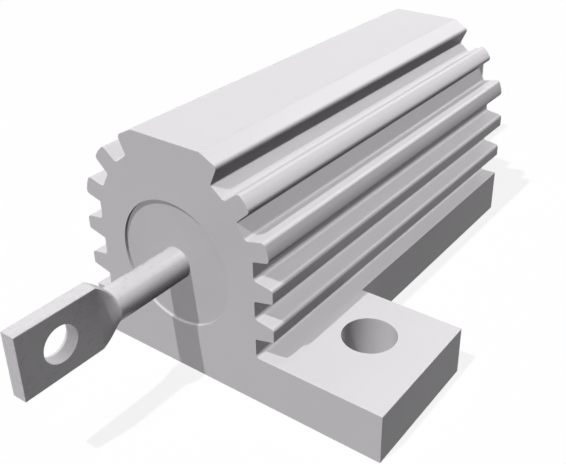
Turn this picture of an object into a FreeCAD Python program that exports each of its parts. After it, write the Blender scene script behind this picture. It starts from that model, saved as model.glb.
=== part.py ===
import FreeCAD
import Part
import math
import os
from FreeCAD import Vector

# Aluminium housed wirewound resistor for chassis mounting, 25 watt size, in millimetres.
# X runs across the feet, Y runs from terminal to terminal, and Z is up. The origin is the
# middle of the base's underside, and the front end of the resistor faces -Y.
#
# The housing is a length of finned aluminium extrusion with a flange along each side. Two
# opposite corners of the flanges are milled away, which leaves one drilled foot at each
# end. The bore holds a ceramic core wound with resistance ribbon. A metal cap sits on each
# end of the core, with a terminal welded to it, and moulding compound fills the rest.

# Housing, overall
body_length = 29.0
body_width = 14.15
body_height = 15.0
bore_diameter = 8.0
bore_height = 7.25

# Housing, fins. They end on the body's sides below the crown's centre, and above it on
# an arc about that centre, whose radius is half the body's width. Grooves of one size
# part them: some straight above each other up the side, and some set round the crown.
web_thickness_beside_bore = 1.8
crown_centre_height = 8.35
crown_flat_width = 5.0
side_grooves = 3
side_groove_pitch = 2.53
lowest_groove_above_foot = 0.7
crown_grooves = 2
first_crown_groove_angle = 28.6
crown_groove_pitch_angle = 23.4
groove_root_width = 1.1
groove_flank_angle = 14.0
groove_lower_flank_radius = 0.25
groove_upper_flank_radius = 0.1
crown_edge_radius = 0.3

# Housing, feet
feet_width = 28.0
foot_length = 9.0
foot_thickness = 3.2
foot_edge_radius = 0.2
hole_spacing_across = 19.8
hole_spacing_along = 18.3
hole_diameter = 3.3

# Ceramic core and the caps on its turned-down ends, flush with the middle of the core
core_diameter = 5.0
compound_over_cap = 3.95
cap_depth = 2.4
cap_wall = 0.3
cap_corner_chamfer = 0.2

# Resistance ribbon, wound on edge to edge over the core and on to both caps
ribbon_width = 0.7
ribbon_thickness = 0.15
ribbon_pitch = 1.2
ribbon_lap_on_cap = 0.8
ribbon_clearance = 0.02

# Terminals: a round rod from the cap out through the compound, pressed flat at its end
rod_diameter = 2.0
rod_length_outside = 5.0
shoulder_length = 1.05
spade_length = 5.0
spade_width = 3.9
spade_thickness = 0.95
spade_hole_diameter = 2.1
spade_hole_from_tip = 2.5

# Moulding compound
moulding_recess = 0.25
moulding_gap_over_ribbon = 0.05

# How far a cutting tool runs past the surface that it cuts
overcut = 1.0

# Places along the resistor, from its middle to where each piece ends
half_length = body_length / 2
moulding_end = half_length - moulding_recess
cap_face = moulding_end - compound_over_cap
core_end = cap_face - cap_wall
cap_rim = core_end - cap_depth

half_body = body_width / 2
web_half_width = bore_diameter / 2 + web_thickness_beside_bore
flank_angle = math.radians(groove_flank_angle)
crown_centre = Vector(0, 0, crown_centre_height)
bore_centre = Vector(0, 0, bore_height)
along = Vector(0, 1, 0)


def fin_envelope_point(start, direction):
    """Where a line from start reaches the surface on which the fins' tips lie."""
    offset = start - crown_centre
    lead = offset.dot(direction)
    reach = math.sqrt(lead ** 2 - offset.dot(offset) + half_body ** 2) - lead
    on_crown = start + direction * reach
    if on_crown.z >= crown_centre_height:
        return on_crown
    return start + direction * ((half_body - start.x) / direction.x)


def groove_corners(root_middle, angle):
    """Corners of one groove with their radii, from its lower mouth to its upper mouth."""
    outward = Vector(math.cos(angle), 0, math.sin(angle))
    upward = Vector(-math.sin(angle), 0, math.cos(angle))
    roots = []
    mouths = []
    for side, radius in ((-1, groove_lower_flank_radius), (1, groove_upper_flank_radius)):
        root = root_middle + upward * (side * groove_root_width / 2)
        flank = outward * math.cos(flank_angle) + upward * (side * math.sin(flank_angle))
        roots.append((root, radius))
        mouths.append((fin_envelope_point(root, flank), radius))
    return [mouths[0], roots[0], roots[1], mouths[1]]


def half_section():
    """Corners of the housing's section on its +X side, from the base up to the crown."""
    foot_side = feet_width / 2
    corners = [
        (Vector(foot_side, 0, 0), foot_edge_radius),
        (Vector(foot_side, 0, foot_thickness), foot_edge_radius),
    ]
    for number in range(side_grooves):
        height = foot_thickness + lowest_groove_above_foot + number * side_groove_pitch
        corners += groove_corners(Vector(web_half_width, 0, height), 0)
    # The foot's top runs level into the lowest groove, in place of a lower flank.
    lowest_corner = (Vector(web_half_width, 0, foot_thickness), groove_lower_flank_radius)
    corners[2:4] = [lowest_corner]
    for number in range(crown_grooves):
        angle = math.radians(first_crown_groove_angle + number * crown_groove_pitch_angle)
        outward = Vector(math.cos(angle), 0, math.sin(angle))
        corners += groove_corners(crown_centre + outward * web_half_width, angle)
    corners.append((Vector(crown_flat_width / 2, 0, body_height), crown_edge_radius))
    return corners


def rounded_face(corners):
    """A flat face inside a closed run of corners, each rounded to its own radius."""
    starts = []
    arcs = []
    ends = []
    for index, (corner, radius) in enumerate(corners):
        to_before = corners[index - 1][0] - corner
        to_after = corners[(index + 1) % len(corners)][0] - corner
        half_angle = to_before.getAngle(to_after) / 2
        longest_setback = 0.45 * min(to_before.Length, to_after.Length)
        setback = min(radius / math.tan(half_angle), longest_setback)
        before = to_before.normalize()
        after = to_after.normalize()
        starts.append(corner + before * setback)
        ends.append(corner + after * setback)
        if setback > 0:
            rounding = setback * math.tan(half_angle)
            bisector = (before + after).normalize()
            middle = corner + bisector * (rounding / math.sin(half_angle) - rounding)
            arcs.append(Part.Arc(starts[-1], middle, ends[-1]).toShape())
        else:
            arcs.append(None)
    edges = []
    for index, arc in enumerate(arcs):
        if arc:
            edges.append(arc)
        edges.append(Part.makeLine(ends[index], starts[(index + 1) % len(starts)]))
    return Part.Face(Part.Wire(edges))


def cylinder_along(diameter, start_y, end_y):
    """A round bar on the bore's axis, between two places along the resistor."""
    start = bore_centre + along * start_y
    return Part.makeCylinder(diameter / 2, end_y - start_y, start, along)


def turned_end_for_end(shape):
    """A copy for the other end of the resistor, turned half a turn about Z."""
    other = shape.copy()
    other.rotate(Vector(0, 0, 0), Vector(0, 0, 1), 180)
    return other


def make_housing():
    right = half_section()
    left = [(Vector(-corner.x, 0, corner.z), radius) for corner, radius in reversed(right)]
    extrusion = rounded_face(right + left).extrude(along * body_length)
    extrusion.translate(along * -half_length)

    flange_beside_foot = Part.makeBox(
        feet_width / 2 - half_body + overcut,
        body_length - foot_length + overcut,
        foot_thickness + overcut,
        Vector(half_body, foot_length - half_length, -overcut),
    )
    foot_hole = Part.makeCylinder(
        hole_diameter / 2,
        foot_thickness + 2 * overcut,
        Vector(hole_spacing_across / 2, -hole_spacing_along / 2, -overcut),
    )
    bore = cylinder_along(bore_diameter, -half_length - overcut, half_length + overcut)
    cuts = [flange_beside_foot, foot_hole]
    cuts += [turned_end_for_end(cut) for cut in cuts]
    return extrusion.cut(cuts + [bore])


def make_core():
    """A ceramic rod whose two ends are turned down by the caps' wall."""
    middle = cylinder_along(core_diameter, -cap_rim, cap_rim)
    seat = cylinder_along(core_diameter - 2 * cap_wall, -core_end, core_end)
    return middle.fuse(seat).removeSplitter()


def make_rear_cap(core):
    """A drawn cup over the core's rear end."""
    cup = cylinder_along(core_diameter, cap_rim, cap_face)
    corner = [edge for edge in cup.Edges if edge.BoundBox.YMin > cap_face - cap_wall / 2]
    return cup.makeChamfer(cap_corner_chamfer, corner).cut(core)


def make_winding():
    """A flat ribbon wound in an even helix round the core."""
    length = 2 * (cap_rim + ribbon_lap_on_cap)
    inside = core_diameter / 2 + ribbon_clearance
    outside = inside + ribbon_thickness
    helix = Part.makeHelix(ribbon_pitch, length, inside)
    corners = [
        Vector(inside, 0, -ribbon_width / 2),
        Vector(outside, 0, -ribbon_width / 2),
        Vector(outside, 0, ribbon_width / 2),
        Vector(inside, 0, ribbon_width / 2),
    ]
    section = Part.makePolygon(corners + corners[:1])
    winding = helix.makePipeShell([section], True, True)
    winding.rotate(Vector(0, 0, 0), Vector(1, 0, 0), -90)
    winding.translate(bore_centre - along * (length / 2))
    return winding


def make_rear_terminal():
    """A rod welded to the rear cap, which flares into a flat drilled spade outside."""
    rod_end = half_length + rod_length_outside
    spade_start = rod_end + shoulder_length
    rod = cylinder_along(rod_diameter, cap_face, rod_end)

    half_thickness = spade_thickness / 2
    half_width = spade_width / 2
    spade_corners = [
        bore_centre + Vector(side * half_thickness, spade_start, top * half_width)
        for side, top in ((1, -1), (1, 1), (-1, 1), (-1, -1))
    ]
    spade_face = Part.Wire(Part.makePolygon(spade_corners + spade_corners[:1]).Edges)
    rod_centre = bore_centre + along * rod_end
    quarters = []
    for quarter in range(4):
        places = []
        for step in (-1, 0, 1):
            angle = math.radians(90 * quarter + 45 * step)
            spoke = Vector(math.cos(angle), 0, math.sin(angle))
            places.append(rod_centre + spoke * (rod_diameter / 2))
        quarters.append(Part.Arc(*places).toShape())
    shoulder = Part.makeLoft([Part.Wire(quarters), spade_face], True, True)

    spade = Part.Face(spade_face).extrude(along * spade_length)
    hole_centre = bore_centre + along * (spade_start + spade_length - spade_hole_from_tip)
    hole = Part.makeCylinder(
        spade_hole_diameter / 2,
        spade_thickness + 2 * overcut,
        hole_centre - Vector(half_thickness + overcut, 0, 0),
        Vector(1, 0, 0),
    )
    return rod.fuse([shoulder, spade]).removeSplitter().cut(hole)


def make_moulding(core, caps, terminals):
    """Compound that fills the bore round the wound core, with its ends set in a little."""
    plug = cylinder_along(bore_diameter, -moulding_end, moulding_end)
    ribbon_end = cap_rim + ribbon_lap_on_cap + ribbon_width
    ribbon_outside = core_diameter + 2 * (ribbon_clearance + ribbon_thickness)
    ribbon_space = cylinder_along(
        ribbon_outside + 2 * moulding_gap_over_ribbon, -ribbon_end, ribbon_end
    )
    return plug.cut([ribbon_space, core] + caps + terminals)


core = make_core()
cap_rear = make_rear_cap(core)
cap_front = turned_end_for_end(cap_rear)
terminal_rear = make_rear_terminal()
terminal_front = turned_end_for_end(terminal_rear)
pieces = {
    "housing": make_housing(),
    "ceramic_core": core,
    "end_cap_front": cap_front,
    "end_cap_rear": cap_rear,
    "resistance_winding": make_winding(),
    "terminal_front": terminal_front,
    "terminal_rear": terminal_rear,
    "moulding": make_moulding(core, [cap_front, cap_rear], [terminal_front, terminal_rear]),
}

os.makedirs("parts", exist_ok=True)
for name, shape in pieces.items():
    shape.exportStep(f"parts/{name}.step")
    print(name, shape.isValid(), len(shape.Solids), round(shape.Volume, 3), "mm3")
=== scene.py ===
import bmesh
import bpy
import math
import numpy as np
from mathutils import Matrix, Vector


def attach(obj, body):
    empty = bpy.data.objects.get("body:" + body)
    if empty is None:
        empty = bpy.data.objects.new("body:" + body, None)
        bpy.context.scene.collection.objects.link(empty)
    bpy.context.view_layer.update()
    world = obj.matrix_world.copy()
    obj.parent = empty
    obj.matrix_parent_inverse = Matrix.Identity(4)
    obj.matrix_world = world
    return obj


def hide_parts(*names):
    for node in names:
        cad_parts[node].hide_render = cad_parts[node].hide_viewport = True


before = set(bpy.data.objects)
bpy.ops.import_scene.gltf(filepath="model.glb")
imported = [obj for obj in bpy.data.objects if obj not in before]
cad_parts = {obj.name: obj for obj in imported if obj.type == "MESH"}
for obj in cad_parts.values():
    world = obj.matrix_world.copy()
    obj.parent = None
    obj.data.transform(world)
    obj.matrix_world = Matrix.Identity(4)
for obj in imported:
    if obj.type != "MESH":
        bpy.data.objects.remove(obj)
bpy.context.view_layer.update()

# The looks of an aluminium housed resistor. Its pieces are worked out in millimetres, on the
# frame's own axes: X across the feet, Y from terminal to terminal, and Z up from the base.
millimetre = 0.001             # in metres


print("frame loaded:", len(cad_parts), "nodes")


camera = {
    "place": (0.029704, -0.042911, 0.033430),      # metres
    "aim": (-0.000858, 0.000595, 0.005391),
    "roll": 0.03,              # degrees
    "lens": 53.3,              # millimetres
    "sensor": 36,
    "reach": (0.002, 10),      # the nearest and the farthest that it shows
    "shift": (-0.0553, -0.0778),
}


def linked(name, data):
    made = bpy.data.objects.new(name, data)
    bpy.context.scene.collection.objects.link(made)
    return made


def makeCamera(values):
    data = bpy.data.cameras.new("camera")
    data.lens = values["lens"]
    data.sensor_width = values["sensor"]
    data.shift_x, data.shift_y = values["shift"]
    data.clip_start, data.clip_end = values["reach"]
    body = linked("camera", data)
    look = Vector(values["aim"]) - Vector(values["place"])
    turn = look.to_track_quat("-Z", "Y").to_matrix().to_4x4()
    roll = Matrix.Rotation(math.radians(values["roll"]), 4, "Z")
    body.matrix_world = Matrix.Translation(values["place"]) @ turn @ roll
    bpy.context.scene.camera = body


makeCamera(camera)
print("camera placed")


# One value in a node tree. Sums written with it add Math nodes to the tree.
class Reading:
    def __init__(self, finish, socket):
        self.finish = finish
        self.socket = socket

    def math(self, operation, *values):
        inputs = dict(enumerate(values))
        return self.finish.node("ShaderNodeMath", {"operation": operation}, inputs)

    def __add__(self, other):
        return self.math("ADD", self, other)

    def __sub__(self, other):
        return self.math("SUBTRACT", self, other)

    def __mul__(self, other):
        return self.math("MULTIPLY", self, other)

    def __rsub__(self, other):
        return self.math("SUBTRACT", other, self)

    __radd__ = __add__
    __rmul__ = __mul__

    def size(self):
        return self.math("ABSOLUTE", self)

    def sine(self):
        return self.math("SINE", self)

    def larger(self, other):
        return self.math("MAXIMUM", self, other)

    # 0 below low, 1 above high, and a smooth rise between
    def rise(self, low, high):
        settings = {"interpolation_type": "SMOOTHSTEP"}
        inputs = {"Value": self, "From Min": low, "From Max": high}
        return self.finish.node("ShaderNodeMapRange", settings, inputs)


# The shader's own names for the values of a surface.
socketNames = {
    "color": "Base Color",
    "metallic": "Metallic",
    "roughness": "Roughness",
    "normal": "Normal",
    "specular": "Specular IOR Level",
}
halfway = 0.5                  # the middle of a grain, and of the way between two colours


# The node tree of a material or a world.
class Finish:
    def __init__(self, owner):
        owner.use_nodes = True
        self.owner = owner
        self.tree = owner.node_tree

    # Any node: its type, its settings, the values or links of its sockets, and the output used.
    def node(self, kind, settings, inputs, output=0):
        made = self.tree.nodes.new(kind)
        for setting, value in settings.items():
            setattr(made, setting, value)
        for socket, value in inputs.items():
            self.feed(made.inputs[socket], value)
        return Reading(self, made.outputs[output])

    def feed(self, socket, value):
        if isinstance(value, Reading):
            self.tree.links.new(value.socket, socket)
        else:
            socket.default_value = value

    def place(self):
        return self.node("ShaderNodeTexCoord", {}, {}, "Object")

    def facing(self, axis):
        normal = self.node("ShaderNodeTexCoord", {}, {}, "Normal")
        return self.node("ShaderNodeSeparateXYZ", {}, {"Vector": normal}, axis)

    # Noise from 0 to 1, whose grain is so many millimetres long each way.
    def grain(self, millimetres, detail, roughness):
        scale = tuple(1 / (millimetre * length) for length in millimetres)
        spread = self.node("ShaderNodeMapping", {}, {"Vector": self.place(), "Scale": scale})
        inputs = {"Vector": spread, "Scale": 1.0, "Detail": detail, "Roughness": roughness}
        return self.node("ShaderNodeTexNoise", {}, inputs)

    # A colour between two, where mix goes from 0 to 1. The node has its colours on the
    # sockets 6 and 7, and their mix on output 2.
    def between(self, mix, first, second):
        inputs = {0: mix, 6: (*first, 1), 7: (*second, 1)}
        return self.node("ShaderNodeMix", {"data_type": "RGBA"}, inputs, 2)

    # How far the layers shift a value. Each layer is its amounts, its grain from 0 to 1
    # and the cover, from 0 to 1, that says where it lies.
    def layered(self, kind, layers):
        return sum(
            (grain - halfway) * cover * amounts[kind]
            for amounts, grain, cover in layers if kind in amounts
        )

    # Relief in millimetres.
    def relief(self, height):
        inputs = {"Strength": 1.0, "Distance": millimetre, "Height": height}
        return self.node("ShaderNodeBump", {}, inputs)

    # Gives the surface its values, and hands over the finished material.
    def surface(self, **values):
        shader = self.tree.nodes["Principled BSDF"]
        for name, value in values.items():
            self.feed(shader.inputs[socketNames[name]], value)
        return self.owner


def newFinish(name):
    return Finish(bpy.data.materials.new(name))


# In each finish, a grain is its length in millimetres each way, its detail and roughness.
# The numbers named tone, rough and depth are how much each grain shifts the colour and
# the roughness, and how many millimetres of relief it has.
aluminium = {
    "light": (0.755, 0.734, 0.757),
    "dark": (0.710, 0.690, 0.712),
    "metallic": 0.05,
    "roughness": 0.46,
    "specular": 0.15,
    # The die drew lines along the extrusion, coarse and fine ones with a share each.
    "lines": {"grain": ((0.16, 40, 0.16), 3.0, 0.6), "share": 0.6},
    "fineLines": {"grain": ((0.045, 12, 0.045), 2.0, 0.5), "share": 0.4},
    "skin": {"tone": 0.9, "rough": 0.22, "depth": 0.0016},
    "cloud": {"grain": ((5, 9, 5), 3.0, 0.5), "tone": 0.8, "rough": 0.16},
    "sheen": {"grain": ((0.07, 0.07, 0.07), 1.0, 0.5), "tone": 0.3, "depth": 0.0006},
    # The marks that the saw left on the end faces are rings about its centre, which is in
    # metres. They lie a step apart, in millimetres, and waver by a size in radians.
    "marks": {"tone": 0.25, "rough": 0.06, "depth": 0.0012, "step": 0.16},
    "sawCentre": (-0.021, 0, 0.034),
    "waver": {"grain": ((1.6, 1.6, 1.6), 2.0, 0.5), "size": 2.6},
    # From the first share of Y in a face's direction to the second it turns into an end.
    "endFrom": (0.8, 0.95),
}


def makeAluminium(values):
    finish = newFinish("clear_anodised_aluminium")
    parts = [values["lines"], values["fineLines"]]
    coarse, fine = [finish.grain(*part["grain"]) * part["share"] for part in parts]
    skin = coarse + fine
    cloud = finish.grain(*values["cloud"]["grain"])
    sheen = finish.grain(*values["sheen"]["grain"])
    waver = finish.grain(*values["waver"]["grain"]) * values["waver"]["size"]
    onEnd = finish.facing("Y").size().rise(*values["endFrom"])
    onSide = 1 - onEnd
    away = finish.node(
        "ShaderNodeVectorMath", {"operation": "DISTANCE"},
        {0: finish.place(), 1: values["sawCentre"]}, "Value",
    )
    turns = away * (2 * math.pi / (millimetre * values["marks"]["step"]))
    marks = (turns + waver).sine() * 0.5 + 0.5        # from 0 to 1
    layers = [
        (values["skin"], skin, onSide), (values["marks"], marks, onEnd),
        (values["cloud"], cloud, 1), (values["sheen"], sheen, 1),
    ]
    mix = finish.layered("tone", layers) + halfway
    rough = finish.layered("rough", layers) + values["roughness"]
    relief = skin * onSide * values["skin"]["depth"] + marks * onEnd * values["marks"]["depth"]
    return finish.surface(
        color=finish.between(mix, values["dark"], values["light"]),
        metallic=values["metallic"],
        roughness=rough,
        specular=values["specular"],
        normal=finish.relief(relief + sheen * values["sheen"]["depth"]),
    )


tinned = {
    "light": (0.775, 0.752, 0.777),
    "dark": (0.705, 0.684, 0.707),
    "metallic": 0.03,
    "roughness": 0.30,
    "specular": 0.40,
    "mottle": {
        "grain": ((0.35, 0.5, 0.35), 3.0, 0.55), "tone": 0.7, "rough": 0.22, "depth": 0.00035,
    },
    "drawn": {"grain": ((0.05, 3, 0.05), 2.0, 0.5), "tone": 0.5, "depth": 0.0002},
    "blotch": {"grain": ((1.2, 1.6, 1.2), 2.0, 0.5), "tone": 0.6, "rough": 0.16},
}
compound = {
    "light": (0.745, 0.724, 0.748),
    "dark": (0.665, 0.646, 0.668),
    "roughness": 0.72,
    "specular": 0.3,
    "grit": {"grain": ((0.09, 0.09, 0.09), 2.0, 0.6), "tone": 0.7, "rough": 0.2, "depth": 0.003},
    "patch": {"grain": ((1.3, 1.3, 1.3), 3.0, 0.5), "tone": 0.6, "rough": 0.12},
}
ceramic = {
    "light": (0.86, 0.84, 0.80),
    "dark": (0.74, 0.71, 0.66),
    "roughness": 0.62,
    "speck": {"grain": ((0.12, 0.12, 0.12), 2.0, 0.6), "tone": 0.6, "rough": 0.2, "depth": 0.004},
    "cloud": {"grain": ((1.5, 1.5, 1.5), 3.0, 0.5), "tone": 0.8, "depth": 0.002},
}
ribbon = {
    "light": (0.62, 0.55, 0.47),
    "dark": (0.44, 0.38, 0.33),
    "metallic": 0.9,
    "roughness": 0.36,
    "rolled": {"grain": ((0.03, 1.2, 0.03), 2.0, 0.5), "tone": 0.6, "rough": 0.2, "depth": 0.0015},
    "heat": {"grain": ((1.8, 1.2, 1.8), 2.0, 0.5), "tone": 1.0, "rough": 0.15},
}
capSteel = {
    "light": (0.72, 0.70, 0.67),
    "dark": (0.58, 0.56, 0.53),
    "metallic": 0.9,
    "roughness": 0.32,
    "drawn": {"grain": ((0.06, 1.5, 0.06), 2.0, 0.5), "tone": 0.5, "rough": 0.1, "depth": 0.0012},
    "stain": {"grain": ((0.8, 0.8, 0.8), 3.0, 0.5), "tone": 0.9, "rough": 0.2},
}


# A finish whose colour, roughness and relief come from its grains alone.
def makeGrained(name, values):
    finish = newFinish(name)
    layers = [
        (part, finish.grain(*part["grain"]), 1)
        for part in values.values() if isinstance(part, dict)
    ]
    mix = finish.layered("tone", layers) + halfway
    relief = [grain * part["depth"] for part, grain, _ in layers if "depth" in part]
    constants = {key: values[key] for key in ("metallic", "specular") if key in values}
    return finish.surface(
        color=finish.between(mix, values["dark"], values["light"]),
        roughness=finish.layered("rough", layers) + values["roughness"],
        normal=finish.relief(sum(relief)),
        **constants,
    )


aluminiumFinish = makeAluminium(aluminium)
tinnedFinish = makeGrained("tinned_copper", tinned)
compoundFinish = makeGrained("moulding_compound", compound)
hiddenFinishes = {
    "ceramic_core": makeGrained("unglazed_ceramic", ceramic),
    "resistance_winding": makeGrained("resistance_ribbon", ribbon),
    "end_cap_front": makeGrained("plated_cap_steel", capSteel),
}
hiddenFinishes["end_cap_rear"] = hiddenFinishes["end_cap_front"]
for node, finish in hiddenFinishes.items():
    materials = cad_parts[node].data.materials
    materials.clear()
    materials.append(finish)
print("finishes made")


sideShare = 0.45               # how much of a side the rounding of a corner may take
seamReach = 1e-5               # points nearer than this are one, in millimetres
breakSegments = 2
cutMargin = 1.0                # how far a cutter runs past what it cuts, in millimetres
straight = np.eye(3)
halfTurn = np.diag([-1.0, -1.0, 1.0])
uprightTurn = np.array([[1, 0, 0], [0, 0, -1], [0, 1, 0]])   # Y to Z
sidewaysTurn = np.array([[0, 1, 0], [-1, 0, 0], [0, 0, 1]])   # Y to X


# Each row divided by its length.
def unit(rows):
    return rows / np.linalg.norm(rows, axis=-1, keepdims=True)


# The cosine and the sine of each angle.
def directions(angles):
    return np.stack([np.cos(angles), np.sin(angles)], axis=-1)


# A closed outline with its corners rounded. At each corner an arc turns from the side
# before it to the side after it: its points are the arc's centre plus its radius times a
# direction that swings evenly from the first touching point to the last.
def roundedOutline(corners, radii, steps):
    before = np.roll(corners, 1, axis=0) - corners
    after = np.roll(corners, -1, axis=0) - corners
    sides = np.minimum(np.linalg.norm(before, axis=1), np.linalg.norm(after, axis=1))
    before = unit(before)
    after = unit(after)
    half = np.arccos(np.sum(before * after, axis=1)) / 2
    setback = np.minimum(radii / np.tan(half), sideShare * sides)[:, None]
    half = half[:, None]
    radius = setback * np.tan(half)
    centre = corners + unit(before + after) * radius / np.sin(half)
    first = unit(corners + before * setback - centre)
    last = unit(corners + after * setback - centre)
    turn = (math.pi - 2 * half)[:, None]
    part = np.linspace(0, 1, steps)[None, :, None]
    swing = np.sin((1 - part) * turn) * first[:, None] + np.sin(part * turn) * last[:, None]
    return (centre[:, None] + radius[:, None] * swing / np.sin(turn)).reshape(-1, 2)


# Quads between neighbouring rows of a grid whose columns close on themselves.
def ringQuads(rows, columns):
    index = np.arange(rows * columns).reshape(rows, columns)
    across = np.roll(index, -1, axis=1)
    quads = np.stack([index[:-1], index[1:], across[1:], across[:-1]], axis=-1)
    return quads.reshape(-1, 4).tolist()


# A closed bar: one outline in X and Z at each place along Y, with a face over each end.
def bar(outlines, places):
    rows, columns = outlines.shape[:2]
    along = np.broadcast_to(np.asarray(places)[:, None], (rows, columns))
    points = np.stack([outlines[..., 0], along, outlines[..., 1]], axis=-1)
    last = (rows - 1) * columns
    ends = [list(range(columns)), list(range(last + columns - 1, last - 1, -1))]
    return points.reshape(-1, 3), ringQuads(rows, columns) + ends


# A round bar of even radius: the outline is cosine and sine of an even sweep of angles.
def roundBar(radius, places, segments):
    circle = radius * directions(np.arange(segments) * 2 * math.pi / segments)
    return bar(np.repeat(circle[None], len(places), axis=0), places)


# A box from its lowest corner to its highest.
def boxBar(low, high):
    corners = np.array([
        [low[0], low[2]], [high[0], low[2]], [high[0], high[2]], [low[0], high[2]],
    ])
    return bar(np.repeat(corners[None], 2, axis=0), (low[1], high[1]))


# The shape after a turn by a matrix and a shift.
def moved(shape, turn, offset):
    points, faces = shape
    return points @ np.asarray(turn).T + np.asarray(offset), faces


# Several shapes as one: each shape's faces count on from the points of those before it.
def joined(shapes):
    points = []
    faces = []
    for shapePoints, shapeFaces in shapes:
        start = sum(len(rows) for rows in points)
        points.append(shapePoints)
        faces += [[start + index for index in face] for face in shapeFaces]
    return np.concatenate(points), faces


def madeObject(name, shape):
    points, faces = shape
    mesh = bpy.data.meshes.new(name)
    mesh.from_pydata(points.tolist(), [], faces)
    return linked(name, mesh)


# Gives the object the mesh that its modifiers make, and takes the modifiers off.
def applyModifiers(piece):
    evaluated = piece.evaluated_get(bpy.context.evaluated_depsgraph_get())
    mesh = bpy.data.meshes.new_from_object(evaluated)
    piece.modifiers.clear()
    piece.data = mesh
    mesh.name = piece.name


def cutAway(piece, cutters):
    tool = madeObject("cutter", joined(cutters))
    modifier = piece.modifiers.new("cut", "BOOLEAN")
    modifier.operation = "DIFFERENCE"
    modifier.solver = "EXACT"
    modifier.object = tool
    applyModifiers(piece)
    bpy.data.objects.remove(tool)


# Merges doubles and turns all faces outward.
def closeSeams(piece):
    work = bmesh.new()
    work.from_mesh(piece.data)
    bmesh.ops.remove_doubles(work, verts=work.verts, dist=seamReach)
    bmesh.ops.recalc_face_normals(work, faces=work.faces)
    work.to_mesh(piece.data)
    work.free()


# Takes the sharpness off the edges that turn by at least so many degrees.
def breakEdges(piece, width, turnFrom):
    closeSeams(piece)
    breaks = piece.modifiers.new("edge break", "BEVEL")
    breaks.width = width
    breaks.segments = breakSegments
    breaks.limit_method = "ANGLE"
    breaks.angle_limit = math.radians(turnFrom)
    breaks.use_clamp_overlap = False
    applyModifiers(piece)


# Goes over to metres, sets the shading and gives the piece its finish and its body. An
# edge that turns by at least so many degrees is shaded sharp.
def settle(piece, finish, sharpFrom):
    closeSeams(piece)
    mesh = piece.data
    mesh.transform(Matrix.Scale(millimetre, 4))
    mesh.shade_smooth()
    mesh.set_sharp_from_angle(angle=math.radians(sharpFrom))
    weights = piece.modifiers.new("flat faces first", "WEIGHTED_NORMAL")
    weights.keep_sharp = True
    applyModifiers(piece)
    piece.data.materials.clear()
    piece.data.materials.append(finish)
    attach(piece, "root")


housing = {
    "length": 29.0,
    "width": 14.15,
    "height": 15.0,
    "boreDiameter": 8.0,
    "boreHeight": 7.25,
    "webHalfWidth": 5.8,
    "crownCentre": (0, 8.35),
    "crownFlat": 5.0,
    "sideGrooves": 3,
    "lowestAboveFoot": 0.7,    # from the foot's top to the middle of the lowest groove
    "sidePitch": 2.53,
    "crownAngles": (28.6, 52.0),
    # From a groove's middle down and up to its flanks, and the degrees that these open by.
    "sideRoot": (-0.605, 0.55),
    "crownRoot": (-0.55, 0.55),
    "sideFlankAngles": (8, 14),
    "crownFlankAngles": (14, 14),
    "lowerFlankRadius": 0.25,
    "upperFlankRadius": 0.1,
    "crownMouthRadius": 0.28,
    "tipSwell": 0.05,          # how far the middle of a crown fin's tip stands out
    "tipRadius": 2.5,          # and how widely it is rounded
    "crownEdgeRadius": 0.3,
    "feetWidth": 28.0,
    "footLength": 9.0,
    "footThickness": 3.2,
    "footEdgeRadius": 0.06,
    "holePlace": (9.9, -9.15),
    "holeDiameter": 3.3,
    "holeSegments": 64,
    "boreSegments": 128,
    "arcSteps": 6,
    "edgeBreak": 0.025,
    "breakFrom": 32,           # degrees
    "sharpFrom": 50,
}


# The middles of the grooves' roots and the angles at which the grooves open: first those
# up the side, straight above each other, and then those set round the crown's centre.
def grooveMiddles(values):
    number = np.arange(values["sideGrooves"])
    lowest = values["footThickness"] + values["lowestAboveFoot"]
    onSide = np.stack([
        np.full(len(number), values["webHalfWidth"]), lowest + number * values["sidePitch"],
    ], axis=-1)
    turns = np.radians(values["crownAngles"])
    onCrown = np.array(values["crownCentre"]) + values["webHalfWidth"] * directions(turns)
    return np.concatenate([onSide, onCrown]), np.concatenate([np.zeros(len(number)), turns])


# Each groove's corners, from its lower mouth to its upper one. A groove has a flat root and
# two flanks that open outward. A flank ends where it meets the fins' envelope: the body's
# side below the crown's centre, and an arc about that centre above it.
def grooveCorners(values):
    middles, angles = grooveMiddles(values)
    sideFirst = (np.arange(len(angles)) < values["sideGrooves"])[:, None]
    edges = np.where(sideFirst, values["sideRoot"], values["crownRoot"])[..., None]
    opening = np.where(sideFirst, values["sideFlankAngles"], values["crownFlankAngles"])
    opening = np.radians(opening)[..., None]
    outward = directions(angles)[:, None]
    upward = outward[..., ::-1] * [-1, 1]
    downOrUp = np.array([[-1], [1]])
    roots = middles[:, None] + upward * edges
    flanks = outward * np.cos(opening) + upward * downOrUp * np.sin(opening)
    reach = values["width"] / 2
    crown = np.array(values["crownCentre"])
    offset = roots - crown
    lead = np.sum(offset * flanks, axis=-1, keepdims=True)
    distance = np.sum(offset * offset, axis=-1, keepdims=True)
    onArc = roots + flanks * (np.sqrt(lead ** 2 - distance + reach ** 2) - lead)
    onSide = roots + flanks * ((reach - roots[..., :1]) / flanks[..., :1])
    mouths = np.where(onArc[..., 1:] >= crown[1], onArc, onSide)
    return np.stack([mouths[:, 0], roots[:, 0], roots[:, 1], mouths[:, 1]], axis=1)


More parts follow.
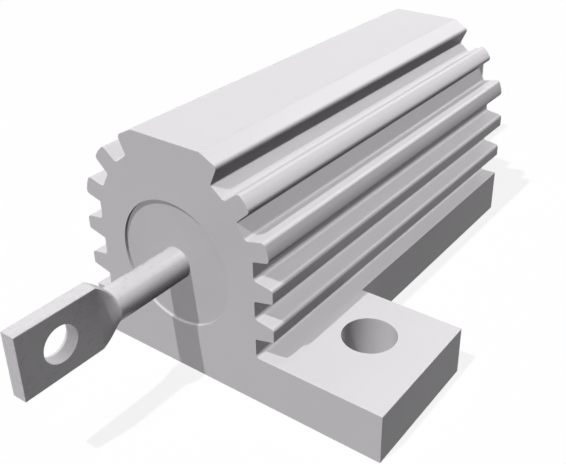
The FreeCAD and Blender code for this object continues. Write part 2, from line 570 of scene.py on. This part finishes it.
# Half of the extrusion's outline, from the base to the crown's flat, as corners and their
# radii. A fin of the crown has one more corner, in the middle of its tip: it stands out by
# the swell, and its wide radius makes the tip bulge.
def halfSection(values):
    grooves = grooveCorners(values)
    lower = values["lowerFlankRadius"]
    upper = values["upperFlankRadius"]
    radii = np.tile([lower, lower, upper, upper], (len(grooves), 1))
    below = values["sideGrooves"] - 1         # the groove below the crown's first fin
    radii[below:, 3] = values["crownMouthRadius"]
    ends = grooves[below:-1, 3], grooves[below + 1:, 0]
    along = unit(ends[1] - ends[0])
    tips = (ends[0] + ends[1]) / 2 + along[:, ::-1] * [1, -1] * values["tipSwell"]
    tipPlaces = grooves.shape[1] * (below + 1 + np.arange(len(tips)))
    fins = np.insert(grooves.reshape(-1, 2), tipPlaces, tips, axis=0)
    radii = np.insert(radii.ravel(), tipPlaces, values["tipRadius"])
    foot = values["feetWidth"] / 2
    thickness = values["footThickness"]
    # The foot's top runs level to the web, so the lowest groove has no lower flank, and the
    # two corners of one are left out.
    corners = np.concatenate([
        [[foot, 0], [foot, thickness], [values["webHalfWidth"], thickness]],
        fins[2:],
        [[values["crownFlat"] / 2, values["height"]]],
    ])
    footEdge = values["footEdgeRadius"]
    rounding = np.concatenate([
        [footEdge, footEdge, lower], radii[2:], [values["crownEdgeRadius"]],
    ])
    return corners, rounding


def makeHousing(values):
    corners, radii = halfSection(values)
    mirrored = corners[::-1] * [-1, 1]
    outline = roundedOutline(
        np.concatenate([corners, mirrored]), np.concatenate([radii, radii[::-1]]),
        values["arcSteps"],
    )
    ends = (-values["length"] / 2, values["length"] / 2)
    piece = madeObject("finned_housing", bar(np.repeat(outline[None], 2, axis=0), ends))

    side = values["width"] / 2
    overFoot = values["footThickness"] + cutMargin
    flange = boxBar(
        (side, values["footLength"] + ends[0], -cutMargin),
        (values["feetWidth"] / 2 + cutMargin, ends[1] + cutMargin, overFoot),
    )
    hole = moved(
        roundBar(values["holeDiameter"] / 2, (-cutMargin, overFoot), values["holeSegments"]),
        uprightTurn, (*values["holePlace"], 0),
    )
    boreEnds = (ends[0] - cutMargin, ends[1] + cutMargin)
    bore = moved(
        roundBar(values["boreDiameter"] / 2, boreEnds, values["boreSegments"]),
        straight, (0, 0, values["boreHeight"]),
    )
    cuts = [flange, hole]
    cuts += [moved(cut, halfTurn, (0, 0, 0)) for cut in cuts]
    cutAway(piece, cuts)
    breakEdges(piece, values["edgeBreak"], values["breakFrom"])
    cutAway(piece, [bore])        # the bore's own edges stay sharp
    settle(piece, aluminiumFinish, values["sharpFrom"])
    return piece


housingPiece = makeHousing(housing)
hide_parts("housing")
print("housing made:", len(housingPiece.data.polygons), "faces")


moulding = {
    "recess": 0.2,             # how far the compound ends inside the bore
    # what it surrounds: the rods, the caps and the space over the ribbon
    "rodRadius": 1.0,
    "capRadius": 2.5,
    "capFace": 10.3,
    "ribbonSpaceRadius": 2.72,
    "ribbonSpaceEnd": 9.1,
    "climb": 0.012,            # how far the compound creeps up the bore
    "rodShare": 0.7,           # and how much of that up the rod
    "climbWidth": 0.035,
    "climbRows": 9,
    "climbReach": 4,           # how many widths the rows cover
    "flatFrom": 0.8,           # how far from the rod and the bore the end is flat
    "segments": 128,
    "sharpFrom": 50,           # degrees
}


# The compound as a turned ring. Its end creeps up the bore and the rod: what it rises by is
# the climb times e to the minus distance from the wall over the climb's width.
def mouldingShape(values):
    inner = values["rodRadius"]
    outer = housing["boreDiameter"] / 2
    end = housing["length"] / 2 - values["recess"]
    width = values["climbWidth"]
    rows = np.linspace(0, values["climbReach"], values["climbRows"]) * width
    near = np.concatenate([rows, [values["flatFrom"]]])
    radius = np.concatenate([inner + near, (outer - near)[::-1]])
    upRod = values["rodShare"] * np.exp((inner - radius) / width)
    creep = upRod + np.exp((radius - outer) / width)
    rear = np.stack([radius, end + values["climb"] * creep], axis=-1)
    cavity = np.array([
        [values["capRadius"], values["capFace"]],
        [values["capRadius"], values["ribbonSpaceEnd"]],
        [values["ribbonSpaceRadius"], values["ribbonSpaceEnd"]],
    ])
    flip = np.array([1, -1])
    rodSeat = np.array([[inner, values["capFace"]]])
    loop = np.concatenate([
        rear, rear[::-1] * flip, rodSeat * flip, cavity * flip, cavity[::-1], rodSeat,
    ])
    angle = np.arange(values["segments"]) * 2 * math.pi / values["segments"]
    points = np.stack([
        loop[:, :1] * np.cos(angle),
        np.broadcast_to(loop[:, 1:], (len(loop), len(angle))),
        loop[:, :1] * np.sin(angle),
    ], axis=-1)
    points = np.concatenate([points, points[:1]]).reshape(-1, 3)
    faces = ringQuads(len(loop) + 1, len(angle))
    return points + [0, 0, housing["boreHeight"]], faces


def makeMoulding(values):
    piece = madeObject("moulding_plug", mouldingShape(values))
    settle(piece, compoundFinish, values["sharpFrom"])
    return piece


mouldingPiece = makeMoulding(moulding)
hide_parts("moulding")
print("moulding made:", len(mouldingPiece.data.polygons), "faces")


terminal = {
    "rodOutside": 5.0,
    "shoulderLength": 1.05,
    "spadeLength": 5.0,
    "halfThickness": 0.475,
    "halfWidth": 1.95,
    "cornerRadius": 0.06,
    "cornerSteps": 4,
    "sideSteps": 12,
    "holeFromTip": 2.5,
    "holeDiameter": 2.1,
    "holeSegments": 64,
    "edgeBreak": 0.03,
    "breakFrom": 55,           # degrees, so that the shoulder's creases stay as pressed
    "sharpFrom": 16,
    "shoulderSteps": 9,
    "shoulderSwell": 0.12,     # how much fuller the shoulder is than a straight one
}


# The places along Y where the rod, the shoulder and the spade end.
def terminalEnds(values):
    lengths = [values["rodOutside"], values["shoulderLength"], values["spadeLength"]]
    return housing["length"] / 2 + np.cumsum(lengths)


# One side of the pressed flat and the quarter of the rod that it was pressed from. Going
# from corner to corner, the flat is straight and then turns by 45 degrees round each
# corner, while the rod's angle goes evenly from -45 to 45 degrees.
def quarterOutlines(values, number):
    halfSide = (values["halfWidth"], values["halfThickness"])[number % 2]
    depth = (values["halfThickness"], values["halfWidth"])[number % 2]
    corner = values["cornerRadius"]
    inner = halfSide - corner
    turn = np.linspace(0, 1, values["cornerSteps"])
    across = np.concatenate([
        -inner - corner * turn[:0:-1],
        np.linspace(-inner, inner, values["sideSteps"]),
        inner + corner * turn[1:-1],
    ])
    bend = np.clip(np.abs(across) - inner, 0, corner) / corner * math.pi / 4
    flat = np.stack([
        depth - corner + corner * np.cos(bend),
        np.sign(across) * (np.minimum(np.abs(across), inner) + corner * np.sin(bend)),
    ], axis=-1)
    rod = moulding["rodRadius"] * directions(across / halfSide * math.pi / 4)
    facing = directions(number * math.pi / 2)
    quarter = np.stack([facing, facing[::-1] * [-1, 1]])
    return np.stack([rod @ quarter, flat @ quarter])


# The terminal's outline is the rod's before the shoulder and the flat's after it. On the
# shoulder the flat's share rises from 0 to 1: it is the way along the shoulder plus the
# swell times the sine of half a turn along it.
def terminalShape(values):
    quarters = [quarterOutlines(values, number) for number in range(4)]
    rod, flat = np.concatenate(quarters, axis=1)
    way = np.linspace(0, 1, values["shoulderSteps"])
    rodEnd, spadeStart, tip = terminalEnds(values)
    shoulder = rodEnd + way * (spadeStart - rodEnd)
    rise = way + values["shoulderSwell"] * np.sin(math.pi * way)
    places = np.concatenate([[moulding["capFace"]], shoulder, [tip]])
    share = np.concatenate([[0], rise, [1]])[:, None, None]
    points, faces = bar(rod * (1 - share) + flat * share, places)
    return points + [0, 0, housing["boreHeight"]], faces


def makeTerminal(name, values, turn):
    piece = madeObject(name, moved(terminalShape(values), turn, (0, 0, 0)))
    reach = values["halfThickness"] + cutMargin
    holePlace = terminalEnds(values)[-1] - values["holeFromTip"]
    hole = moved(
        roundBar(values["holeDiameter"] / 2, (-reach, reach), values["holeSegments"]),
        sidewaysTurn, (0, holePlace, housing["boreHeight"]),
    )
    cutAway(piece, [moved(hole, turn, (0, 0, 0))])
    breakEdges(piece, values["edgeBreak"], values["breakFrom"])
    settle(piece, tinnedFinish, values["sharpFrom"])
    return piece


frontTerminal = makeTerminal("front_spade_terminal", terminal, halfTurn)
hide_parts("terminal_front")
rearTerminal = makeTerminal("rear_spade_terminal", terminal, straight)
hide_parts("terminal_rear")
print("terminals made:", len(frontTerminal.data.polygons), "faces each")


stage = {
    "floorHalfSize": 1.5,
    "floorHeight": -1e-5,                 # just under the base, so that the two faces part
    "floorShown": (0.93, 0.93, 0.93, 1),
    "floorGlow": 0.72,                    # share of plain white that keeps the shadow pale
    "floorBounce": (0.08, 0.08, 0.08, 1),
    "surroundings": 0.015,
}
# Each lamp's way points at it from the part, and its width is the angle that it fills, in
# degrees. As in the photograph, the key lamp alone throws shadows, and the light goes no
# further than the surface that it falls on.
lamps = {
    "key": {"way": (-0.1, -0.6, 1), "energy": 1.46, "width": 1.2},
    "overhead": {"way": (0, 0, 1), "energy": 0.86, "width": 30},
    "front": {"way": (-0.08, -1, 0.12), "energy": 0.88, "width": 16},
    "back": {"way": (0.08, 0.73, 0.67), "energy": 0.84, "width": 12},
    "backRight": {"way": (0.43, 0.73, 0.53), "energy": 0.64, "width": 16},
    "left": {"way": (-1, -0.15, 0.15), "energy": 0.50, "width": 20},
    "rear": {"way": (0, 1, 0.15), "energy": 0.30, "width": 20},
}
shadowLamp = "key"
lampBounces = 0
white = (1, 1, 1, 1)


# 1 for rays that show a surface, straight or in a mirror or through glass, and else 0.
def shown(finish):
    rays = [
        finish.node("ShaderNodeLightPath", {}, {}, f"Is {kind} Ray")
        for kind in ("Camera", "Glossy", "Transmission")
    ]
    return rays[0].larger(rays[1]).larger(rays[2])


def makeFloor(values):
    finish = newFinish("floor")
    seen = finish.node("ShaderNodeBsdfDiffuse", {}, {"Color": values["floorShown"]})
    glow = finish.node("ShaderNodeEmission", {}, {"Color": white, "Strength": 1.0})
    pale = finish.node("ShaderNodeMixShader", {}, {0: values["floorGlow"], 1: seen, 2: glow})
    bounce = finish.node("ShaderNodeBsdfDiffuse", {}, {"Color": values["floorBounce"]})
    mixed = finish.node("ShaderNodeMixShader", {}, {0: shown(finish), 1: bounce, 2: pale})
    finish.feed(finish.tree.nodes["Material Output"].inputs["Surface"], mixed)
    half = values["floorHalfSize"]
    corners = np.array([[-half, -half], [half, -half], [half, half], [-half, half]])
    points = np.insert(corners, 2, values["floorHeight"], axis=1)
    floor = madeObject("floor", (points, [[0, 1, 2, 3]]))
    floor.data.materials.append(finish.owner)


def makeSurroundings(values):
    world = bpy.data.worlds.new("surroundings")
    bpy.context.scene.world = world
    finish = Finish(world)
    dim = {"Color": white, "Strength": values["surroundings"]}
    light = finish.node("ShaderNodeBackground", {}, dim)
    seen = finish.node("ShaderNodeBackground", {}, {"Color": white, "Strength": 1.0})
    mixed = finish.node("ShaderNodeMixShader", {}, {0: shown(finish), 1: light, 2: seen})
    finish.feed(finish.tree.nodes["World Output"].inputs["Surface"], mixed)


def makeLamp(name, values):
    lamp = bpy.data.lights.new(name, "SUN")
    lamp.energy = values["energy"]
    lamp.angle = math.radians(values["width"])
    lamp.use_shadow = name == shadowLamp
    lamp.cycles.max_bounces = lampBounces
    body = linked(name, lamp)
    body.matrix_world = Vector(values["way"]).to_track_quat("Z", "Y").to_matrix().to_4x4()


makeFloor(stage)
makeSurroundings(stage)
for lampName, lampValues in lamps.items():
    makeLamp(lampName, lampValues)
bpy.context.scene.view_settings.view_transform = "Standard"
print("floor, surroundings and lamps made")
